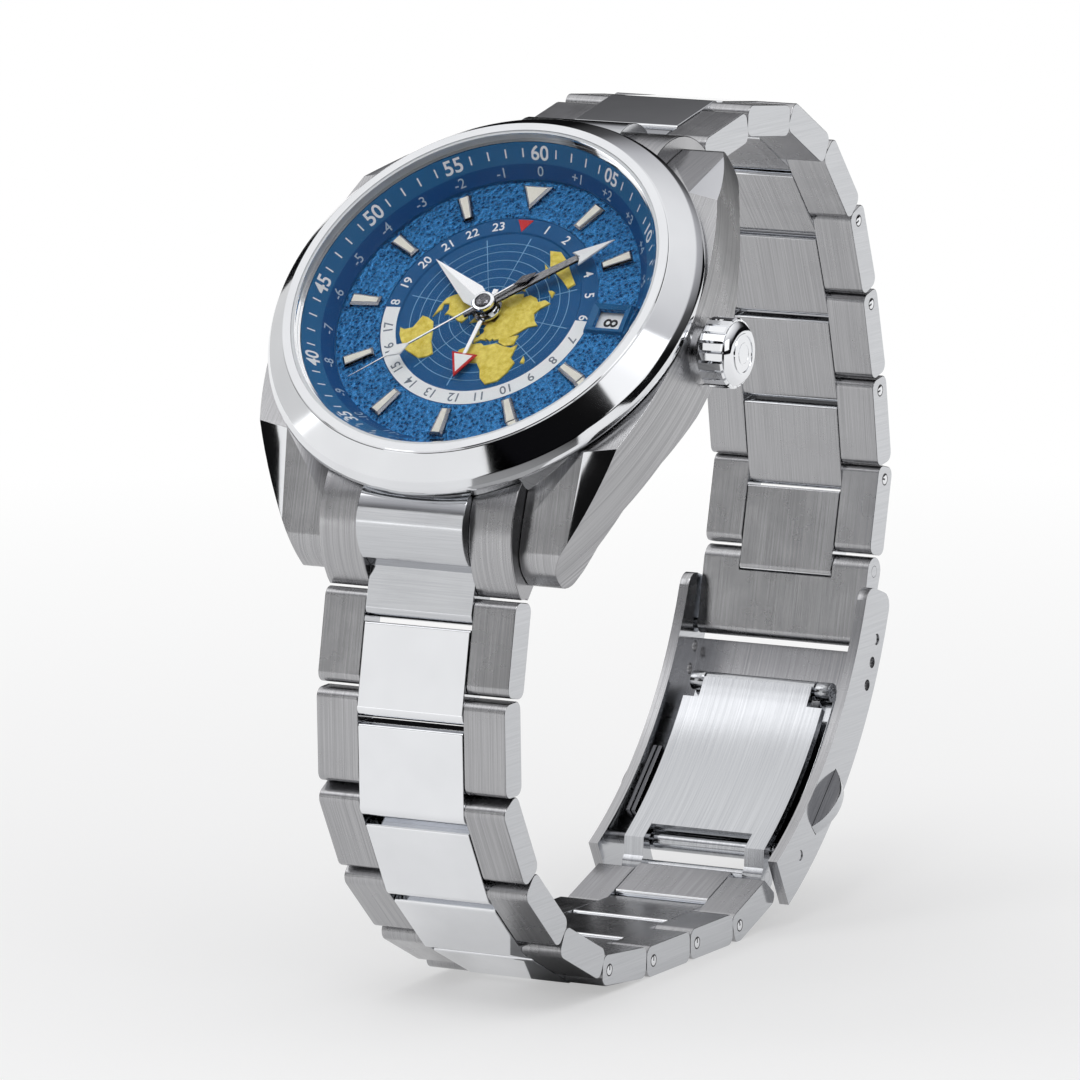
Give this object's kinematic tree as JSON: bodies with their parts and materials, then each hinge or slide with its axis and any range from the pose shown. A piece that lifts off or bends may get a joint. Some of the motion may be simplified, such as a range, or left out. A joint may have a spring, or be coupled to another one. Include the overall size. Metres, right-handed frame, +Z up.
{
  "type": "wristwatch",
  "caption": "Round steel watch with a sloped bezel, four hands and a date window, on a link bracelet with a folding clasp, closed and standing on its lower rows.",
  "frame": {"origin": "middle of the outer face of the bracelet row that rests on the table, at the height of the table", "axes": "+X from 9 to 3 o'clock across the bracelet, +Z up, the dial looks toward -Y and up"},
  "size_m": [0.0463, 0.0817, 0.0808],
  "materials": {
    "brushed": "brushed",
    "polished": "polished",
    "glass": "clear",
    "rubber": "matt",
    "dial_blue": "textured lacquer",
    "ring_blue": "satin lacquer",
    "white": "gloss lacquer",
    "gilt": "gilt",
    "plate": "grained",
    "dark": "gloss lacquer",
    "red": "gloss lacquer",
    "blued": "blued"
  },
  "bodies": {
    "case": {"mid_case": "brushed", "bezel": "polished", "crystal": "glass", "gaskets": "rubber", "chapter_ring": "ring_blue", "dial": "dial_blue", "hour_markers": "white", "map_disc": "ring_blue", "case_back": "brushed", "movement_ring": "plate", "crown_tube": "brushed", "main_plate": "plate", "train_bridge": "plate", "balance_cock": "plate", "end_link_front": "brushed", "end_link_rear": "brushed", "spring_bars": "brushed"},
    "minute": {"minute_hand": "dark", "cannon_pinion": "polished"},
    "hour": {"hour_hand": "polished", "hour_wheel": "gilt"},
    "home_time": {"gmt_hand": "red", "gmt_wheel": "gilt"},
    "seconds": {"seconds_hand": "white", "seconds_wheel": "gilt"},
    "third_wheel": {"third_wheel": "gilt"},
    "great_wheel": {"great_wheel": "gilt"},
    "escape_wheel": {"escape_wheel": "polished"},
    "barrel": {"barrel": "gilt"},
    "date_ring": {"date_ring": "white"},
    "rotor": {"rotor": "plate"},
    "balance": {"balance_wheel": "gilt", "hairspring": "blued"},
    "pallet_fork": {"pallet_fork": "polished"},
    "crown": {"crown": "polished", "stem": "polished"},
    "front_1": {"front_row_1": "brushed"},
    "front_2": {"front_row_2": "brushed"},
    "front_3": {"front_row_3": "brushed"},
    "front_4": {"front_row_4": "brushed"},
    "front_5": {"front_row_5": "brushed"},
    "front_6": {"front_row_6": "brushed"},
    "front_7": {"front_row_7": "brushed"},
    "front_8": {"front_row_8": "brushed"},
    "front_9": {"front_row_9": "brushed"},
    "rear_1": {"rear_row_1": "brushed"},
    "rear_2": {"rear_row_2": "brushed"},
    "rear_3": {"rear_row_3": "brushed"},
    "rear_4": {"rear_row_4": "brushed"},
    "rear_5": {"rear_row_5": "brushed"},
    "rear_6": {"rear_row_6": "brushed"},
    "rear_7": {"rear_row_7": "brushed"},
    "rear_8": {"rear_row_8": "brushed"},
    "end_piece": {"clasp_end_piece": "brushed"},
    "cover": {"clasp_cover": "brushed"},
    "outer_blade": {"outer_blade": "polished"},
    "inner_blade": {"inner_blade": "polished"},
    "button_right": {"button_right": "polished"},
    "button_left": {"button_left": "polished"}
  },
  "joints": [
    {"name": "seconds_turn", "type": "hinge", "parent": "case", "child": "seconds", "pos_m": [0, -0.01965, 0.06425], "axis": [0, 0.7202, -0.6937], "continuous": true},
    {"name": "minute_turn", "type": "hinge", "parent": "case", "child": "minute", "pos_m": [0, -0.01965, 0.06425], "axis": [0, 0.7202, -0.6937], "continuous": true},
    {"name": "hour_turn", "type": "hinge", "parent": "case", "child": "hour", "pos_m": [0, -0.01965, 0.06425], "axis": [0, 0.7202, -0.6937], "continuous": true},
    {"name": "home_time_turn", "type": "hinge", "parent": "case", "child": "home_time", "pos_m": [0, -0.01965, 0.06425], "axis": [0, 0.7202, -0.6937], "continuous": true},
    {"name": "third_turn", "type": "hinge", "parent": "case", "child": "third_wheel", "pos_m": [0.001, -0.01455, 0.06451], "axis": [0, 0.7202, -0.6937], "continuous": true},
    {"name": "great_turn", "type": "hinge", "parent": "case", "child": "great_wheel", "pos_m": [0.00553, -0.01569, 0.06332], "axis": [0, 0.7202, -0.6937], "continuous": true},
    {"name": "barrel_turn", "type": "hinge", "parent": "case", "child": "barrel", "pos_m": [0.00642, -0.01219, 0.06695], "axis": [0, 0.7202, -0.6937], "continuous": true},
    {"name": "escape_turn", "type": "hinge", "parent": "case", "child": "escape_wheel", "pos_m": [-0.00361, -0.01757, 0.06137], "axis": [0, 0.7202, -0.6937], "continuous": true},
    {"name": "date_turn", "type": "hinge", "parent": "case", "child": "date_ring", "pos_m": [0, -0.01965, 0.06425], "axis": [0, 0.7202, -0.6937], "continuous": true},
    {"name": "rotor_turn", "type": "hinge", "parent": "case", "child": "rotor", "pos_m": [0, -0.01497, 0.05974], "axis": [0, 0.7202, -0.6937], "continuous": true},
    {"name": "balance_swing", "type": "hinge", "parent": "case", "child": "balance", "pos_m": [-0.00802, -0.01912, 0.05903], "axis": [0, 0.7202, -0.6937], "range_deg": [-135, 135]},
    {"name": "fork_swing", "type": "hinge", "parent": "case", "child": "pallet_fork", "pos_m": [-0.00607, -0.01878, 0.0604], "axis": [0, 0.7202, -0.6937], "range_deg": [-4, 4]},
    {"name": "crown_turn", "type": "hinge", "parent": "case", "child": "crown", "pos_m": [0.023, -0.01699, 0.06169], "axis": [1, 0, 0], "continuous": true},
    {"name": "front_hinge_1", "type": "hinge", "parent": "case", "child": "front_1", "pos_m": [0, -0.03144, 0.03839], "axis": [-1, 0, 0], "range_deg": [0, 9.9]},
    {"name": "front_hinge_2", "type": "hinge", "parent": "front_1", "child": "front_2", "pos_m": [0, -0.03317, 0.02946], "axis": [-1, 0, 0], "range_deg": [0, 18.8]},
    {"name": "front_hinge_3", "type": "hinge", "parent": "front_2", "child": "front_3", "pos_m": [0, -0.03289, 0.02037], "axis": [-1, 0, 0], "range_deg": [0, 33.3]},
    {"name": "front_hinge_4", "type": "hinge", "parent": "front_3", "child": "front_4", "pos_m": [0, -0.02846, 0.01242], "axis": [-1, 0, 0], "range_deg": [0, 24.3]},
    {"name": "front_hinge_5", "type": "hinge", "parent": "front_4", "child": "front_5", "pos_m": [0, -0.02176, 0.00626], "axis": [-1, 0, 0], "range_deg": [0, 22.9]},
    {"name": "front_hinge_6", "type": "hinge", "parent": "front_5", "child": "front_6", "pos_m": [0, -0.01356, 0.00231], "axis": [-1, 0, 0], "range_deg": [0, 26.6]},
    {"name": "front_hinge_7", "type": "hinge", "parent": "front_6", "child": "front_7", "pos_m": [0, -0.0045, 0.0015], "axis": [-1, 0, 0], "range_deg": [0, 11.1]},
    {"name": "front_hinge_8", "type": "hinge", "parent": "front_7", "child": "front_8", "pos_m": [0, 0.0046, 0.0015], "axis": [-1, 0, 0], "range_deg": [0, 6]},
    {"name": "front_hinge_9", "type": "hinge", "parent": "front_8", "child": "front_9", "pos_m": [0, 0.0137, 0.0015], "axis": [-1, 0, 0], "range_deg": [0, 25.2]},
    {"name": "rear_hinge_1", "type": "hinge", "parent": "case", "child": "rear_1", "pos_m": [0, 0.00575, 0.077], "axis": [1, 0, 0], "range_deg": [0, 11.4]},
    {"name": "rear_hinge_2", "type": "hinge", "parent": "rear_1", "child": "rear_2", "pos_m": [0, 0.01465, 0.07887], "axis": [1, 0, 0], "range_deg": [0, 23.6]},
    {"name": "rear_hinge_3", "type": "hinge", "parent": "rear_2", "child": "rear_3", "pos_m": [0, 0.02371, 0.07797], "axis": [1, 0, 0], "range_deg": [0, 28.8]},
    {"name": "rear_hinge_4", "type": "hinge", "parent": "rear_3", "child": "rear_4", "pos_m": [0, 0.0317, 0.07362], "axis": [1, 0, 0], "range_deg": [0, 26.7]},
    {"name": "rear_hinge_5", "type": "hinge", "parent": "rear_4", "child": "rear_5", "pos_m": [0, 0.03765, 0.06673], "axis": [1, 0, 0], "range_deg": [0, 26.5]},
    {"name": "rear_hinge_6", "type": "hinge", "parent": "rear_5", "child": "rear_6", "pos_m": [0, 0.0408, 0.05819], "axis": [1, 0, 0], "range_deg": [0, 11.6]},
    {"name": "rear_hinge_7", "type": "hinge", "parent": "rear_6", "child": "rear_7", "pos_m": [0, 0.04311, 0.04939], "axis": [1, 0, 0], "range_deg": [0, 11.8]},
    {"name": "rear_hinge_8", "type": "hinge", "parent": "rear_7", "child": "rear_8", "pos_m": [0, 0.04451, 0.0404], "axis": [1, 0, 0], "range_deg": [0, 28.4]},
    {"name": "end_piece_hinge", "type": "hinge", "parent": "rear_8", "child": "end_piece", "pos_m": [0, 0.04238, 0.03155], "axis": [1, 0, 0], "range_deg": [0, 8.9]},
    {"name": "cover_hinge", "type": "hinge", "parent": "end_piece", "child": "cover", "pos_m": [0, 0.04052, 0.02522], "axis": [1, 0, 0], "range_deg": [0, 30]},
    {"name": "outer_blade_hinge", "type": "hinge", "parent": "cover", "child": "outer_blade", "pos_m": [0, 0.02414, 0.0066], "axis": [1, 0, 0], "range_deg": [0, 100]},
    {"name": "inner_blade_hinge", "type": "hinge", "parent": "outer_blade", "child": "inner_blade", "pos_m": [0, 0.03622, 0.02037], "axis": [1, 0, 0], "range_deg": [-200, 0]},
    {"name": "button_right_push", "type": "slide", "parent": "cover", "child": "button_right", "axis": [-1, 0, 0], "range_m": [0, 0.0007], "stiffness_N_per_m": 300},
    {"name": "button_left_push", "type": "slide", "parent": "cover", "child": "button_left", "axis": [1, 0, 0], "range_m": [0, 0.0007], "stiffness_N_per_m": 300}
  ],
  "couplings": [
    {"joint": "minute_turn", "follows": "seconds_turn", "ratio": 0.016667},
    {"joint": "hour_turn", "follows": "seconds_turn", "ratio": 0.0013889},
    {"joint": "home_time_turn", "follows": "seconds_turn", "ratio": 0.00069444},
    {"joint": "third_turn", "follows": "seconds_turn", "ratio": -0.1875},
    {"joint": "great_turn", "follows": "seconds_turn", "ratio": 0.029297},
    {"joint": "barrel_turn", "follows": "seconds_turn", "ratio": -0.0053267},
    {"joint": "escape_turn", "follows": "seconds_turn", "ratio": -7.5},
    {"joint": "date_turn", "follows": "seconds_turn", "ratio": 0.000022401},
    {"joint": "inner_blade_hinge", "follows": "outer_blade_hinge", "ratio": -2}
  ]
}
